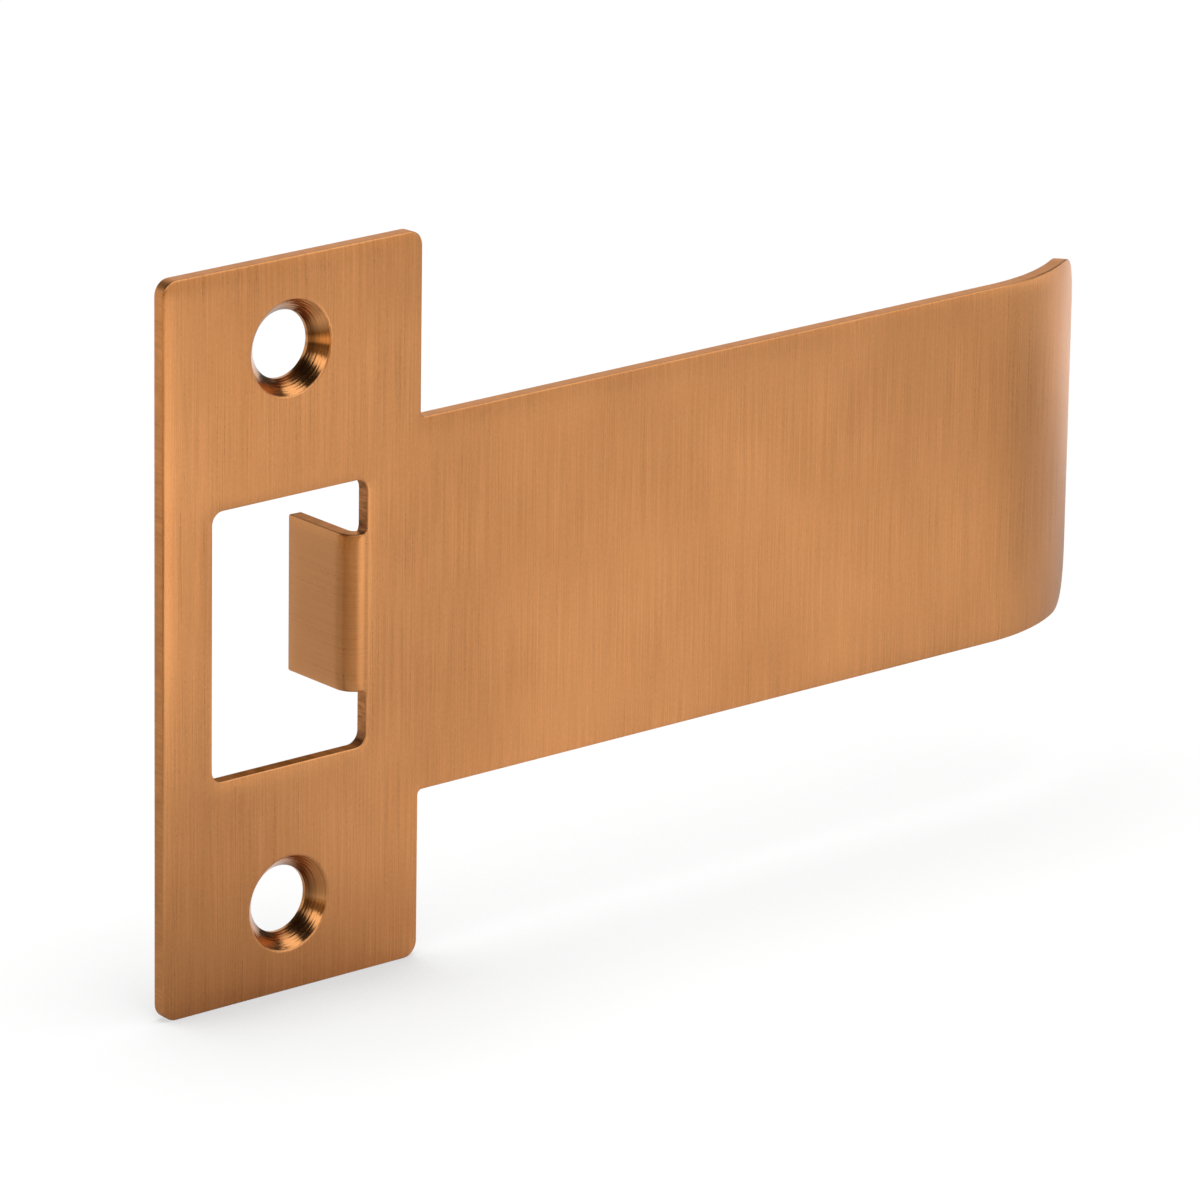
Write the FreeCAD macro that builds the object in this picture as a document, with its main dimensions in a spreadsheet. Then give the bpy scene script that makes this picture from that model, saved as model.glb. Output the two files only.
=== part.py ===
"""Door strike plate with a long curved lip: one stamped and folded sheet of brushed bronze.

Frame: +Z up the plate, +X along the lip, +Y into the door jamb. The back face of the plate lies on
Y = 0 and its front face looks along -Y. The origin is on the back face, midway between the screws.
All sizes are in millimetres and degrees, and live in the sheet called sizes.
"""
import FreeCAD, Part
import math
import os

import Sketcher
from FreeCAD import Vector

NODE = "strike_plate"
TOLERANCE = 1e-4

SIZES = [
    # the sheet, and the roll that the punch leaves along its front edges
    ("sheet_thickness", 1.5),
    ("edge_radius", 0.2),
    # the upright plate, as wide as its window and the margins beside it
    ("plate_height", 70.0),
    ("plate_corner_radius", 1.5),
    ("outer_margin", 5.6),
    ("lip_side_margin", 6.2),
    # the screw holes, and the countersunk seats pressed through to the back
    ("screw_to_outer_edge", 14.4),
    ("screw_to_plate_end", 8.5),
    ("screw_hole_diameter", 6.4),
    ("seat_diameter", 9.2),
    ("seat_angle", 82.0),
    ("seat_wall", 1.2),
    ("seat_stand", 0.6),
    ("seat_rim_radius", 0.5),
    # the latch window
    ("window_width", 17.8),
    ("window_height", 25.7),
    ("window_drop", 0.3),
    ("window_corner_radius", 1.2),
    # the tab folded back out of the window
    ("tab_height", 15.1),
    ("tab_reach", 7.75),
    ("tab_bend_radius", 0.6),
    ("tab_notch_radius", 0.6),
    ("tab_corner_radius", 0.5),
    # the lip and its curled end
    ("lip_height", 36.0),
    ("lip_drop", 0.8),
    ("lip_flat", 71.5),
    ("lip_root_radius", 0.5),
    ("curl_radius", 22.0),
    ("curl_angle", 46.0),
    ("lip_corner_radius", 6.0),
]

# places that follow from the sizes
PLACES = [
    ("sheet_front", "=-sheet_thickness"),
    ("plate_left", "=-screw_to_outer_edge"),
    ("plate_right", "=outer_margin + window_width + lip_side_margin - screw_to_outer_edge"),
    ("plate_top", "=plate_height / 2"),
    ("plate_bottom", "=-plate_height / 2"),
    ("screw_rise", "=plate_height / 2 - screw_to_plate_end"),
    ("window_left", "=outer_margin - screw_to_outer_edge"),
    ("window_right", "=outer_margin + window_width - screw_to_outer_edge"),
    ("window_top", "=window_height / 2 - window_drop"),
    ("window_bottom", "=-window_height / 2 - window_drop"),
    ("tab_top", "=tab_height / 2 - window_drop"),
    ("tab_bottom", "=-tab_height / 2 - window_drop"),
    ("tab_front", "=window_right - tab_bend_radius - sheet_thickness"),
    ("lip_top", "=lip_height / 2 - lip_drop"),
    ("lip_bottom", "=-lip_height / 2 - lip_drop"),
    ("curl_start", "=plate_right + lip_flat"),
    ("curl_centre", "=curl_radius - sheet_thickness"),
]

doc = FreeCAD.newDocument("strike_plate_model")
sizes = doc.addObject("Spreadsheet::Sheet", "sizes")
for row, (alias, value) in enumerate(SIZES + PLACES, start=1):
    sizes.set(f"A{row}", alias)
    sizes.set(f"B{row}", str(value))
    sizes.setAlias(f"B{row}", alias)
doc.recompute()

body = doc.addObject("PartDesign::Body", NODE)
body.Label = NODE


def size(alias):
    """A size or place as a plain number."""
    return float(sizes.get(alias))


def near(value, place):
    """True where a coordinate lies on a place."""
    return abs(value - place) < TOLERANCE


def new_sketch(name, plane, offset=None):
    """An empty sketch on one of the body's planes, moved along its normal by an expression."""
    sketch = body.newObject("Sketcher::SketchObject", name)
    support = [feature for feature in body.Origin.OriginFeatures if feature.Role == plane]
    sketch.AttachmentSupport = [(support[0], "")]
    sketch.MapMode = "FlatFace"
    if offset is not None:
        sketch.setExpression("AttachmentOffset.Base.z", offset)
    return sketch


def constrain(sketch, kind, *places, expression=None):
    """One constraint of a sketch, held to an expression where it has a value."""
    index = sketch.addConstraint(Sketcher.Constraint(kind, *places))
    if expression is not None:
        sketch.setExpression(f"Constraints[{index}]", expression)


def pin(sketch, geometry, point, across=None, up=None):
    """Ties a point of a sketch to named places, measured from the sketch's origin."""
    for kind, place in (("DistanceX", across), ("DistanceY", up)):
        if place is not None:
            constrain(sketch, kind, -1, 1, geometry, point, size(place), expression=f"sizes.{place}")


def add_line(sketch, start, end, direction=None):
    """A straight line, kept Horizontal or Vertical where a direction is given."""
    line = sketch.addGeometry(Part.LineSegment(Vector(*start), Vector(*end)), False)
    if direction is not None:
        constrain(sketch, direction, line)
    return line


def add_arc(sketch, centre, radius, first, last):
    """An arc that runs anticlockwise between two angles in degrees."""
    circle = Part.Circle(Vector(*centre), Vector(0, 0, 1), radius)
    return sketch.addGeometry(Part.ArcOfCircle(circle, math.radians(first), math.radians(last)), False)


def join(sketch, *ends):
    """Joins neighbouring ends: each entry is (geometry, point, next geometry, next point)."""
    for end in ends:
        constrain(sketch, "Coincident", *end)


def add_rectangle(sketch, left, right, bottom, top):
    """A rectangle between four named places."""
    corners = [(size(left), size(bottom)), (size(right), size(bottom)),
               (size(right), size(top)), (size(left), size(top))]
    lines = []
    for side, start in enumerate(corners):
        direction = ("Horizontal", "Vertical")[side % 2]
        lines.append(add_line(sketch, start, corners[(side + 1) % 4], direction))
    for side in range(4):
        join(sketch, (lines[side], 2, lines[(side + 1) % 4], 1))
    pin(sketch, lines[0], 1, left, bottom)
    pin(sketch, lines[2], 1, right, top)


def add_screw_circles(sketch, radius):
    """One circle of the given radius, an expression, at each screw."""
    for rise in (size("screw_rise"), -size("screw_rise")):
        circle = sketch.addGeometry(Part.Circle(Vector(0, rise), Vector(0, 0, 1), 1.0), False)
        constrain(sketch, "PointOnObject", circle, 3, -2)
        expression = "sizes.screw_rise" if rise > 0 else "-sizes.screw_rise"
        constrain(sketch, "DistanceY", -1, 1, circle, 3, rise, expression=expression)
        constrain(sketch, "Radius", circle, 1.0, expression=radius)


def add_feature(kind, name, profile=None, **values):
    """A feature of the body. A value that starts with = is an expression over the sizes."""
    feature = body.newObject(f"PartDesign::{kind}", name)
    if profile is not None:
        feature.Profile = profile
    for key, value in values.items():
        if isinstance(value, str) and value.startswith("="):
            feature.setExpression(key, value[1:])
        else:
            setattr(feature, key, value)
    doc.recompute()
    return feature


def round_edges(name, radius, wanted):
    """A fillet on every edge of the body that is wanted."""
    base = body.Tip
    names = [f"Edge{number}" for number, edge in enumerate(base.Shape.Edges, start=1) if wanted(edge)]
    return add_feature("Fillet", name, Base=(base, names), Radius=f"=sizes.{radius}")


def through_sheet(across, up):
    """Picks the straight edges that run through the sheet where two sets of places cross."""
    def wanted(edge):
        box = edge.BoundBox
        if box.XLength > TOLERANCE or box.ZLength > TOLERANCE:
            return False
        return (any(near(box.XMin, size(place)) for place in across)
                and any(near(box.ZMin, size(place)) for place in up))
    return wanted


# The upright plate.
outline = new_sketch("plate_outline", "XZ_Plane")
add_rectangle(outline, "plate_left", "plate_right", "plate_bottom", "plate_top")
add_feature("Pad", "plate", outline, Length="=sizes.sheet_thickness")

# The lip in plan: flat from the plate's edge, then curled back on an arc.
lip = new_sketch("lip_profile", "XY_Plane", "-sizes.lip_drop")
start, front = size("curl_start"), size("sheet_front")
root, centre = size("plate_right"), (size("curl_start"), size("curl_centre"))
turn = size("curl_angle")
tip = Vector(math.sin(math.radians(turn)), -math.cos(math.radians(turn)))
tip_front = (centre[0] + size("curl_radius") * tip.x, centre[1] + size("curl_radius") * tip.y)
tip_back = (centre[0] + centre[1] * tip.x, centre[1] + centre[1] * tip.y)
front_line = add_line(lip, (root, front), (start, front), "Horizontal")
front_arc = add_arc(lip, centre, size("curl_radius"), -90, turn - 90)
tip_line = add_line(lip, tip_front, tip_back)
back_arc = add_arc(lip, centre, centre[1], -90, turn - 90)
back_line = add_line(lip, (start, 0), (root, 0), "Horizontal")
root_line = add_line(lip, (root, 0), (root, front), "Vertical")
join(lip, (front_line, 2, front_arc, 1), (front_arc, 2, tip_line, 1), (tip_line, 2, back_arc, 2),
     (back_arc, 1, back_line, 1), (back_line, 2, root_line, 1), (root_line, 2, front_line, 1),
     (front_arc, 3, back_arc, 3))
pin(lip, front_arc, 3, "curl_start", "curl_centre")
pin(lip, front_line, 1, "plate_right", "sheet_front")
constrain(lip, "PointOnObject", back_line, 2, -1)
constrain(lip, "Vertical", front_arc, 1, front_arc, 3)
constrain(lip, "Vertical", back_arc, 1, back_arc, 3)
constrain(lip, "PointOnObject", front_arc, 3, tip_line)
constrain(lip, "Angle", front_arc, math.radians(turn), expression="sizes.curl_angle * 1 deg")
add_feature("Pad", "lip", lip, Length="=sizes.lip_height", SideType="Symmetric")


def at_lip_tip(edge):
    """Picks the two short edges where the curl's end meets the lip's top and bottom."""
    box = edge.BoundBox
    straight = edge.Curve.TypeId == "Part::GeomLine"
    return straight and box.ZLength < TOLERANCE and box.XMin > size("curl_start") + TOLERANCE


round_edges("lip_corners", "lip_corner_radius", at_lip_tip)
round_edges("lip_roots", "lip_root_radius", through_sheet(["plate_right"], ["lip_top", "lip_bottom"]))
round_edges("plate_corners", "plate_corner_radius",
            through_sheet(["plate_left", "plate_right"], ["plate_top", "plate_bottom"]))

# The latch window.
window = new_sketch("window_outline", "XZ_Plane")
add_rectangle(window, "window_left", "window_right", "window_bottom", "window_top")
add_feature("Pocket", "window", window, Type="ThroughAll", SideType="Symmetric")
round_edges("window_corners", "window_corner_radius",
            through_sheet(["window_left", "window_right"], ["window_top", "window_bottom"]))

# The tab in plan: a square bend at the window's edge, then a straight flange into the jamb.
tab = new_sketch("tab_profile", "XY_Plane", "-sizes.window_drop")
edge_x, bend, reach = size("window_right"), size("tab_bend_radius"), size("tab_reach")
face_x, back_x = size("tab_front"), size("window_right") - size("tab_bend_radius")
front_bend = add_arc(tab, (edge_x, bend), bend + size("sheet_thickness"), 180, 270)
back_bend = add_arc(tab, (edge_x, bend), bend, 180, 270)
root_line = add_line(tab, (edge_x, front), (edge_x, 0), "Vertical")
back_line = add_line(tab, (back_x, bend), (back_x, reach), "Vertical")
end_line = add_line(tab, (back_x, reach), (face_x, reach), "Horizontal")
front_line = add_line(tab, (face_x, reach), (face_x, bend), "Vertical")
join(tab, (front_bend, 2, root_line, 1), (root_line, 2, back_bend, 2), (back_bend, 1, back_line, 1),
     (back_line, 2, end_line, 1), (end_line, 2, front_line, 1), (front_line, 2, front_bend, 1),
     (front_bend, 3, back_bend, 3))
pin(tab, front_bend, 3, "window_right", "tab_bend_radius")
pin(tab, front_bend, 2, None, "sheet_front")
pin(tab, end_line, 1, None, "tab_reach")
constrain(tab, "PointOnObject", back_bend, 2, -1)
constrain(tab, "Vertical", front_bend, 2, front_bend, 3)
constrain(tab, "Horizontal", front_bend, 1, front_bend, 3)
constrain(tab, "Horizontal", back_bend, 1, back_bend, 3)
add_feature("Pad", "tab", tab, SideType="Symmetric",
            Length="=sizes.tab_height + 2 * sizes.tab_notch_radius")

# The notches above and below the tab, with a round inner corner where each meets the window's edge.
notches = new_sketch("notch_outline", "XZ_Plane")
radius = size("tab_notch_radius")
for place, side in (("tab_top", 1), ("tab_bottom", -1)):
    level, far = size(place), size(place) + side * radius
    middle = (edge_x - radius, far)
    if side > 0:
        corner, low, high = add_arc(notches, middle, radius, 270, 360), 1, 2
    else:
        corner, low, high = add_arc(notches, middle, radius, 0, 90), 2, 1
    left = size("window_left")
    tab_edge = add_line(notches, (left, level), (edge_x - radius, level), "Horizontal")
    far_edge = add_line(notches, (edge_x, far), (left, far), "Horizontal")
    open_edge = add_line(notches, (left, far), (left, level), "Vertical")
    join(notches, (tab_edge, 2, corner, low), (corner, high, far_edge, 1),
         (far_edge, 2, open_edge, 1), (open_edge, 2, tab_edge, 1))
    pin(notches, tab_edge, 1, "window_left", place)
    pin(notches, far_edge, 1, "window_right", None)
    constrain(notches, "Vertical", corner, low, corner, 3)
    constrain(notches, "Horizontal", corner, high, corner, 3)
    constrain(notches, "Radius", corner, radius, expression="sizes.tab_notch_radius")
add_feature("Pocket", "tab_notches", notches, Type="ThroughAll", SideType="Symmetric")


def at_tab_end(edge):
    """Picks the two edges where the flange's end meets the tab's top and bottom."""
    box = edge.BoundBox
    return (near(box.YMin, size("tab_reach")) and box.YLength < TOLERANCE and box.ZLength < TOLERANCE)


round_edges("tab_corners", "tab_corner_radius", at_tab_end)

# The screw seats: a low cone behind the sheet, then a countersunk hole from the front.
seats = new_sketch("seat_backs", "XZ_Plane")
half_angle = "sizes.seat_angle / 2 * 1 deg"
add_screw_circles(seats, f"sizes.seat_diameter / 2 - sizes.sheet_thickness * tan({half_angle})"
                         f" + sizes.seat_wall / cos({half_angle})")
add_feature("Pad", "seat_cones", seats, Reversed=True, Length="=sizes.seat_stand",
            TaperAngle=f"=-{half_angle}")
holes = new_sketch("screw_circles", "XZ_Plane", "sizes.sheet_thickness")
add_screw_circles(holes, "sizes.screw_hole_diameter / 2")
doc.recompute()
add_feature("Hole", "screw_holes", holes, DepthType="ThroughAll", HoleCutType="Countersink",
            HoleCutCustomValues=True, Diameter="=sizes.screw_hole_diameter",
            HoleCutDiameter="=sizes.seat_diameter",
            HoleCutCountersinkAngle="=sizes.seat_angle * 1 deg")


def is_seat_rim(edge):
    """Picks the circles where the seats meet the front face."""
    box = edge.BoundBox
    on_front = box.YLength < TOLERANCE and near(box.YMin, size("sheet_front"))
    return on_front and edge.isClosed()


def is_front_skin(face):
    """True for the faces that were the sheet's front before it was folded."""
    box = face.BoundBox
    if face.Surface.TypeId == "Part::GeomPlane":
        on_plate = box.YLength < TOLERANCE and near(box.YMin, size("sheet_front"))
        return on_plate or (box.XLength < TOLERANCE and near(box.XMin, size("tab_front")))
    if face.Surface.TypeId == "Part::GeomCylinder":
        folded = (size("curl_radius"), size("tab_bend_radius") + size("sheet_thickness"))
        upright = abs(face.Surface.Axis.z) > 1 - TOLERANCE
        return upright and any(near(face.Surface.Radius, fold) for fold in folded)
    return False


round_edges("seat_rims", "seat_rim_radius", is_seat_rim)
skin = [face for face in body.Tip.Shape.Faces if is_front_skin(face)]


def bounds_front(edge):
    """Picks the edges that only one face of the front skin has, the round rims of the seats apart."""
    owners = [face for face in skin if any(edge.isSame(other) for other in face.Edges)]
    return len(owners) == 1 and not edge.isClosed()


round_edges("front_edges", "edge_radius", bounds_front)

doc.recompute()
for item in doc.Objects:
    if "Invalid" in item.State or "Error" in item.State:
        raise RuntimeError(f"{item.Name} failed: {item.State}")
shape = body.Shape
if shape.isNull() or not shape.isValid() or len(shape.Solids) != 1:
    raise RuntimeError(f"{NODE} is not one valid solid")

os.makedirs("parts", exist_ok=True)
shape.exportStep(f"parts/{body.Label}.step")
print(NODE, "volume", round(shape.Volume, 2), "box", shape.BoundBox)
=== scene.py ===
import math

import bmesh
import bpy
import numpy as np
from mathutils import Matrix


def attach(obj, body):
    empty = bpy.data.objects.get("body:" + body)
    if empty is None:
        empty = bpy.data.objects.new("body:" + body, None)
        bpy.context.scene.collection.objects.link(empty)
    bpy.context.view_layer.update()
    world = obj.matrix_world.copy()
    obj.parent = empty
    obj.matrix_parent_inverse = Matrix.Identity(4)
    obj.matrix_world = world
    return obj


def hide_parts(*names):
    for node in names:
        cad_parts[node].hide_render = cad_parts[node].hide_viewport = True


# A door strike plate: one stamped, folded and brushed sheet of bronze, standing on a pale floor.
#
# The sheet is worked out as its flat blank. A point of the blank has a place along the lip (across),
# a height (up) and a depth below the front face, in millimetres, and the folding rule carries it to
# the part's own frame. Every surface is a grid of such points, welded into one closed mesh.
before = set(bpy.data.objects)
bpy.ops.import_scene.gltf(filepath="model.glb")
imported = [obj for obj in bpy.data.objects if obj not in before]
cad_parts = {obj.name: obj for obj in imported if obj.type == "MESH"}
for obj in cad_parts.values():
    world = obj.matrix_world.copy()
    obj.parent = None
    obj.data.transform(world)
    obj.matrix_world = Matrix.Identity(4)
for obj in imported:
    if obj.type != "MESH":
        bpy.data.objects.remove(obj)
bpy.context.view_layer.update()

MM = 0.001
WELD = 1e-6

# the sheet, and how its cut edges are rolled in front, sunk, leaned and broken at the back
THICKNESS = 1.5
ROLL_WIDTH, ROLL_DEPTH = 0.17, 0.08
PILLOW_DEPTH, PILLOW_REACH = 0.14, 2.4
BACK_BREAK = 0.09
CUT_TAPER = 0.03

# the front's ripple: its mean depth, three waves with their lengths and starts, and where it fades out
RIPPLE_LEVEL = 0.038
RIPPLE_HEIGHTS = 0.018, 0.012, 0.008
RIPPLE_ACROSS = 9.5, 17.0, 5.3
RIPPLE_UP = 14.0, 11.0, 21.0
RIPPLE_STARTS = 0.7, 0.4, 1.9
RIPPLE_FADE = 4.0

# the upright plate
PLATE_LEFT, PLATE_RIGHT = -14.4, 15.2
PLATE_TOP, PLATE_BOTTOM = 35.0, -35.0
PLATE_CORNER = 1.5
UPPER_CUT, LOWER_CUT = 19.8, -20.6

# the screw seats, pressed through to the back
SCREW_RISE = 26.5
SEAT_RADIUS, HOLE_RADIUS = 4.6, 3.2
SEAT_SLOPE = 41.0
SEAT_STAND, SEAT_WALL = 0.6, 1.2
SEAT_RIM, SEAT_NOSE, SEAT_BREAK = 0.35, 0.12, 0.1
SEAT_BULGE = 0.05
SEAT_BLEND = 5.6

# the turning rings in a seat: their depth, the height, rate and start of each wave, and how sharply they end
TURNING_DEPTH = 0.003
TURNING_WAVES = (1.0, 37, 0.0), (0.6, 59, 1.0), (0.5, 21, 2.0)
TURNING_FADE = 0.3

# the latch window and the tab folded out of it
WINDOW_LEFT, WINDOW_RIGHT = -8.8, 9.0
WINDOW_TOP, WINDOW_BOTTOM = 12.55, -13.15
WINDOW_CORNER = 1.2
TAB_TOP, TAB_BOTTOM = 7.25, -7.85
TAB_REACH = 7.75
TAB_BEND, TAB_NOTCH, TAB_CORNER = 0.6, 0.6, 0.22
TAB_LEAN = 2.2
TAB_OUTER_BEND = TAB_BEND + THICKNESS
TAB_TURN_LENGTH = TAB_OUTER_BEND * math.pi / 2
TAB_END = WINDOW_RIGHT - TAB_TURN_LENGTH - (TAB_REACH - TAB_BEND)

# the lip and its curl
LIP_TOP, LIP_BOTTOM = 17.2, -18.8
LIP_ROOT, LIP_CORNER = 0.5, 6.0
CURL_START, CURL_RADIUS, CURL_ANGLE = 86.7, 22.0, 46.0
LIP_END = CURL_START + CURL_RADIUS * math.radians(CURL_ANGLE)

# steps along the outlines
CORNER_STEPS = 8
HALF_CORNER = 5
END_SIDE_STEPS, END_STEPS = 22, 44
CUT_STEPS = 56
WINDOW_SPAN = CUT_STEPS - 2 * HALF_CORNER
SIDE_STEPS = 60
SIDE_SPAN = SIDE_STEPS - 2 * HALF_CORNER
LIP_ROWS = 64
ROOT_STEPS, ROOT_SIDE = 6, 4
TAB_ROWS = 40
NOTCH_STEPS = 8
WALL_STEPS = (LIP_ROWS + 2 * ROOT_STEPS + 2 * ROOT_SIDE - 2 * HALF_CORNER - TAB_ROWS) // 2
LIP_STEPS, LIP_CORNER_STEPS, TAB_STEPS = 96, 18, 30

# rows across the faces, and points down a cut edge and a seat
BLOCK_ROWS, SEAT_BLOCK_ROWS, BACK_ROWS = 24, 14, 8
ROLL_POINTS, WALL_POINTS, BREAK_POINTS = 8, 9, 5
FLAT_POINTS, CONE_POINTS = 7, 48
RIM_STEPS, NOSE_STEPS, FOOT_STEPS = 10, 4, 3

# how many points are measured at once, and how far each edge's marks are moved along for each point before it
POINTS_AT_ONCE = 4000
MARKS_SHIFT = 0.37

FACE, EDGE, PIERCED, SEAT, BACK, SHEARED, FOLDED = range(7)


def eased(count):
    """Fractions from 0 to 1 that crowd towards both ends: half of one minus the cosine of a half turn."""
    return 0.5 - 0.5 * np.cos(np.linspace(0, math.pi, count + 1))


def straight(start, end, steps):
    """A straight run of an outline: start plus a fraction of the way to end, the end itself left out.

    The sheet lies to the left of travel, so outward is the heading turned a quarter to the right.
    The steps are a count of even ones, or the fractions themselves.
    """
    fractions = np.arange(steps) / steps if isinstance(steps, int) else steps[:-1]
    start, end = np.array(start), np.array(end)
    heading = (end - start) / np.linalg.norm(end - start)
    points = start + fractions[:, None] * (end - start)
    return points, np.tile([heading[1], -heading[0]], (len(points), 1))


def rounded(centre, radius, first, last, steps):
    """A round run of an outline: the centre plus a radius that swings from first to last, in degrees.

    Swinging anticlockwise, the sheet is inside the arc and outward is the spoke; otherwise its opposite.
    """
    angles = np.radians(first + (last - first) * np.arange(steps) / steps)
    spokes = np.stack([np.cos(angles), np.sin(angles)], 1)
    return np.array(centre) + radius * spokes, spokes if last > first else -spokes


class Outline:
    """A closed outline made of named runs, with the outward direction at each point."""

    def __init__(self, runs):
        self.points = np.concatenate([points for points, outward in runs.values()])
        self.outward = np.concatenate([outward for points, outward in runs.values()])
        self.begins = dict(zip(runs, np.cumsum([0] + [len(points) for points, outward in runs.values()])))

    def span(self, first, last):
        """The indices from the start of one run to the start of another, both ends included."""
        start, stop = self.begins[first], self.begins[last]
        if stop <= start:
            stop = stop + len(self.points)
        return np.arange(start, stop + 1) % len(self.points)

    def ring(self, first, last):
        """The line just inside the rolled edge, from the start of one run to the start of another."""
        indices = self.span(first, last)
        return self.points[indices] - ROLL_WIDTH * self.outward[indices]


def plate_outline():
    """The outline of the plate and lip, anticlockwise from the left side at the lower cut."""
    left, right, top, bottom, corner = PLATE_LEFT, PLATE_RIGHT, PLATE_TOP, PLATE_BOTTOM, PLATE_CORNER
    low, high, root = LIP_BOTTOM, LIP_TOP, LIP_ROOT
    turn = LIP_END - LIP_CORNER
    return Outline({
        "left_foot": straight((left, LOWER_CUT), (left, bottom + corner), END_SIDE_STEPS),
        "lower_left": rounded((left + corner, bottom + corner), corner, 180, 270, CORNER_STEPS),
        "foot": straight((left + corner, bottom), (right - corner, bottom), END_STEPS),
        "lower_right": rounded((right - corner, bottom + corner), corner, 270, 360, CORNER_STEPS),
        "right_foot": straight((right, bottom + corner), (right, LOWER_CUT), END_SIDE_STEPS),
        "below_root": straight((right, LOWER_CUT), (right, low - root), ROOT_SIDE),
        "lower_root": rounded((right + root, low - root), root, 180, 90, ROOT_STEPS),
        "lip_foot": straight((right + root, low), (turn, low), LIP_STEPS),
        "lip_lower_corner": rounded((turn, low + LIP_CORNER), LIP_CORNER, 270, 360, LIP_CORNER_STEPS),
        "lip_end": straight((LIP_END, low + LIP_CORNER), (LIP_END, high - LIP_CORNER), eased(LIP_ROWS)),
        "lip_upper_corner": rounded((turn, high - LIP_CORNER), LIP_CORNER, 0, 90, LIP_CORNER_STEPS),
        "lip_head": straight((turn, high), (right + root, high), LIP_STEPS),
        "upper_root": rounded((right + root, high + root), root, 270, 180, ROOT_STEPS),
        "above_root": straight((right, high + root), (right, UPPER_CUT), ROOT_SIDE),
        "right_head": straight((right, UPPER_CUT), (right, top - corner), END_SIDE_STEPS),
        "upper_right": rounded((right - corner, top - corner), corner, 0, 90, CORNER_STEPS),
        "head": straight((right - corner, top), (left + corner, top), END_STEPS),
        "upper_left": rounded((left + corner, top - corner), corner, 90, 180, CORNER_STEPS),
        "left_head": straight((left, top - corner), (left, UPPER_CUT), END_SIDE_STEPS),
        "left_middle": straight((left, UPPER_CUT), (left, LOWER_CUT), SIDE_STEPS),
    })


def window_outline():
    """The outline of the window and its tab, clockwise from the middle of the lower left corner."""
    left, right, top, bottom = WINDOW_LEFT, WINDOW_RIGHT, WINDOW_TOP, WINDOW_BOTTOM
    corner, notch, nip, half = WINDOW_CORNER, TAB_NOTCH, TAB_CORNER, HALF_CORNER
    return Outline({
        "foot_to_left": rounded((left + corner, bottom + corner), corner, 225, 180, half),
        "left": straight((left, bottom + corner), (left, top - corner), SIDE_SPAN),
        "upper_left": rounded((left + corner, top - corner), corner, 180, 135, half),
        "left_to_head": rounded((left + corner, top - corner), corner, 135, 90, half),
        "head": straight((left + corner, top), (right - corner, top), WINDOW_SPAN),
        "upper_right": rounded((right - corner, top - corner), corner, 90, 45, half),
        "head_to_right": rounded((right - corner, top - corner), corner, 45, 0, half),
        "above_tab": straight((right, top - corner), (right, TAB_TOP + notch), WALL_STEPS),
        "upper_notch": rounded((right - notch, TAB_TOP + notch), notch, 0, -90, NOTCH_STEPS),
        "tab_head": straight((right - notch, TAB_TOP), (TAB_END + nip, TAB_TOP), TAB_STEPS),
        "tab_upper_corner": rounded((TAB_END + nip, TAB_TOP - nip), nip, 90, 180, CORNER_STEPS),
        "tab_end": straight((TAB_END, TAB_TOP - nip), (TAB_END, TAB_BOTTOM + nip), eased(TAB_ROWS)),
        "tab_lower_corner": rounded((TAB_END + nip, TAB_BOTTOM + nip), nip, 180, 270, CORNER_STEPS),
        "tab_foot": straight((TAB_END + nip, TAB_BOTTOM), (right - notch, TAB_BOTTOM), TAB_STEPS),
        "lower_notch": rounded((right - notch, TAB_BOTTOM - notch), notch, 90, 0, NOTCH_STEPS),
        "below_tab": straight((right, TAB_BOTTOM - notch), (right, bottom + corner), WALL_STEPS),
        "lower_right": rounded((right - corner, bottom + corner), corner, 0, -45, half),
        "right_to_foot": rounded((right - corner, bottom + corner), corner, -45, -90, half),
        "foot": straight((right - corner, bottom), (left + corner, bottom), WINDOW_SPAN),
        "lower_left": rounded((left + corner, bottom + corner), corner, 270, 225, half),
    })


def fold(across, up, depth, on_tab):
    """Carries blank points to the part's frame.

    On the lip, what lies past the start of the curl winds round an upright axis at the curl's radius,
    less the depth. On the tab, what lies left of the window's edge winds round the bend's axis by a
    quarter turn, less the depth, and then runs straight back. Elsewhere the sheet stays flat.
    """
    if on_tab:
        past = WINDOW_RIGHT - across
        turn = np.clip(past / TAB_OUTER_BEND, 0, math.pi / 2)
        reach = TAB_OUTER_BEND - depth
        x = np.maximum(across, WINDOW_RIGHT) - reach * np.sin(turn)
        y = TAB_BEND - reach * np.cos(turn) + np.maximum(past - TAB_TURN_LENGTH, 0)
    else:
        turn = np.maximum(across - CURL_START, 0) / CURL_RADIUS
        reach = CURL_RADIUS - depth
        x = np.minimum(across, CURL_START) + reach * np.sin(turn)
        y = CURL_RADIUS - THICKNESS - reach * np.cos(turn)
    return np.stack([x, y, np.broadcast_to(up, x.shape)], -1)


def distance_to(outline, points):
    """The shortest distance from each point to the straight pieces of a closed outline."""
    start = outline.points
    step = np.roll(start, -1, 0) - start
    length = (step ** 2).sum(1)
    nearest = []
    for part in np.array_split(points, max(1, len(points) // POINTS_AT_ONCE)):
        offset = part[:, None] - start[None]
        along = np.clip((offset * step).sum(2) / length, 0, 1)
        gap = offset - along[..., None] * step
        nearest.append(np.sqrt((gap ** 2).sum(2).min(1)))
    return np.concatenate(nearest)


def pillow(distance):
    """How far the front sinks near a cut edge: a depth times the cube of the share of the reach left."""
    return PILLOW_DEPTH * np.clip(1 - distance / PILLOW_REACH, 0, 1) ** 3


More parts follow.
